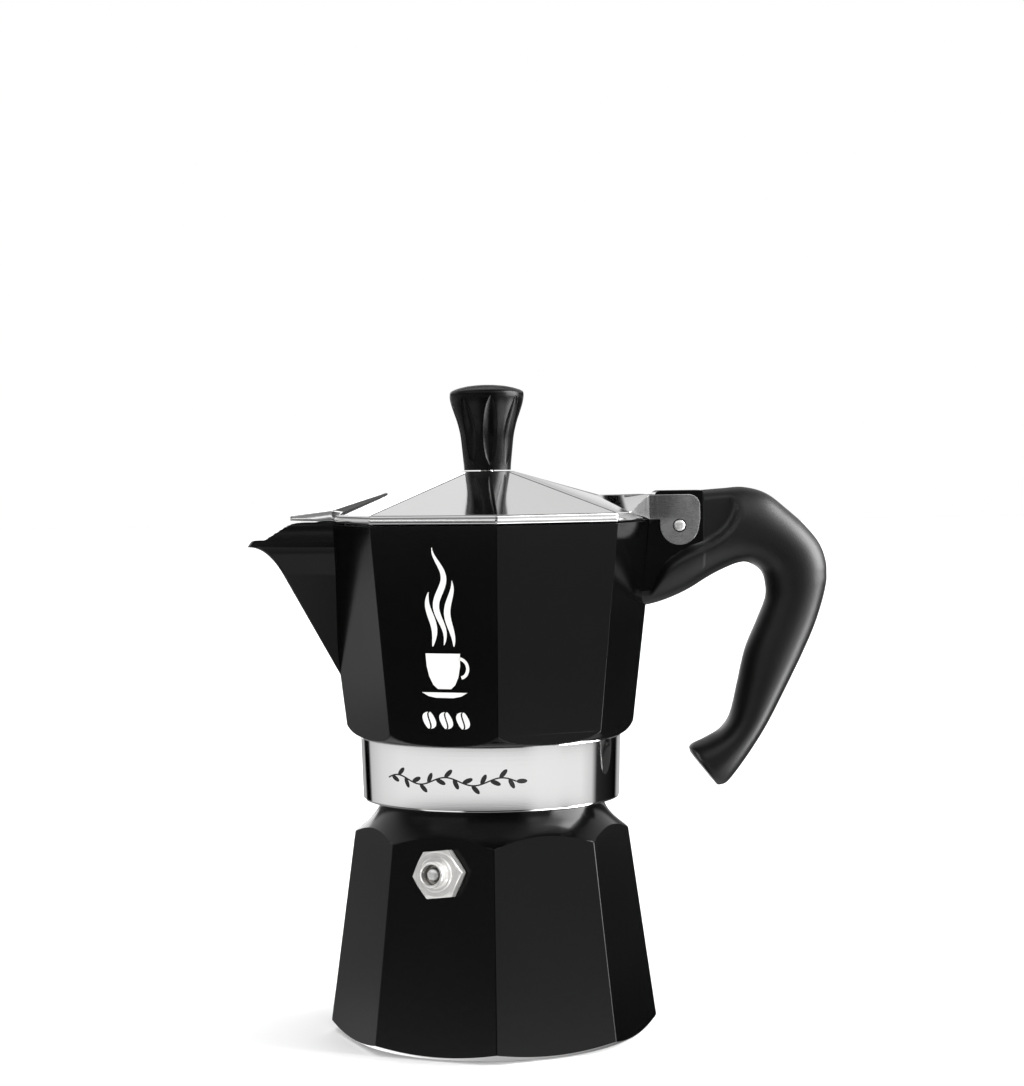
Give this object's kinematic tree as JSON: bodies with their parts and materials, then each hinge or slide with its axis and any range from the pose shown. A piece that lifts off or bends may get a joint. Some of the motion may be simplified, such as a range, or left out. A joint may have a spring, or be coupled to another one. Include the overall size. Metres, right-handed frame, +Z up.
{
  "type": "moka pot",
  "caption": "Octagonal stovetop moka pot: black boiler and spouted upper pot joined by a polished collar, hinged faceted lid with fluted knob, curved side handle.",
  "frame": {"origin": "centre of the boiler's flat foot, on the pot's axis", "axes": "+Z up along the pot's axis, +X toward the handle, spout toward -X, +Y completes a right-handed frame"},
  "size_m": [0.1563, 0.0902, 0.1736],
  "materials": {
    "black_coat": "satin black coat on cast aluminium, collar and foot left bare",
    "bare_aluminium": "plain",
    "polished_aluminium": "polished",
    "handle_plastic": "satin, fine grain",
    "nickel": "nickel plated",
    "brass": "nickel plated brass",
    "steel": "bright",
    "seal_rubber": "pale food rubber"
  },
  "bodies": {
    "boiler": {"boiler": "black_coat", "valve_body": "brass", "valve_nut": "nickel", "valve_washer": "seal_rubber", "valve_retainer": "brass", "valve_spring": "steel"},
    "plunger": {"valve_plunger": "steel"},
    "basket": {"funnel": "bare_aluminium", "funnel_screen": "bare_aluminium"},
    "seal": {"gasket": "seal_rubber", "filter_plate": "bare_aluminium"},
    "collector": {"collector": "black_coat", "column": "bare_aluminium", "handle": "handle_plastic", "handle_pin": "steel", "hinge_pin": "steel"},
    "lid": {"lid": "polished_aluminium", "knob": "handle_plastic", "knob_screw": "steel", "knob_washer": "steel"}
  },
  "joints": [
    {"name": "funnel_lift", "type": "slide", "parent": "boiler", "child": "basket", "axis": [0, 0, 1], "range_m": [0, 0.08]},
    {"name": "collector_rise", "type": "slide", "parent": "basket", "child": "seal", "axis": [0, 0, 1], "range_m": [0, 0.0098]},
    {"name": "collector_turn", "type": "hinge", "parent": "seal", "child": "collector", "pos_m": [0, 0, 0.0799], "axis": [0, 0, 1], "range_deg": [0, 1170]},
    {"name": "lid_hinge", "type": "hinge", "parent": "collector", "child": "lid", "pos_m": [0.05095, 0, 0.1353], "axis": [0, 1, 0], "range_deg": [0, 95]},
    {"name": "valve_plunger", "type": "slide", "parent": "boiler", "child": "plunger", "axis": [-0.4114, -0.9026, 0.1266], "range_m": [0, 0.0015], "stiffness_N_per_m": 1000, "springref_m": -0.002, "deforming": ["valve_spring"]}
  ],
  "couplings": [
    {"joint": "collector_rise", "follows": "collector_turn", "m_per_rad": 0.00047746}
  ]
}
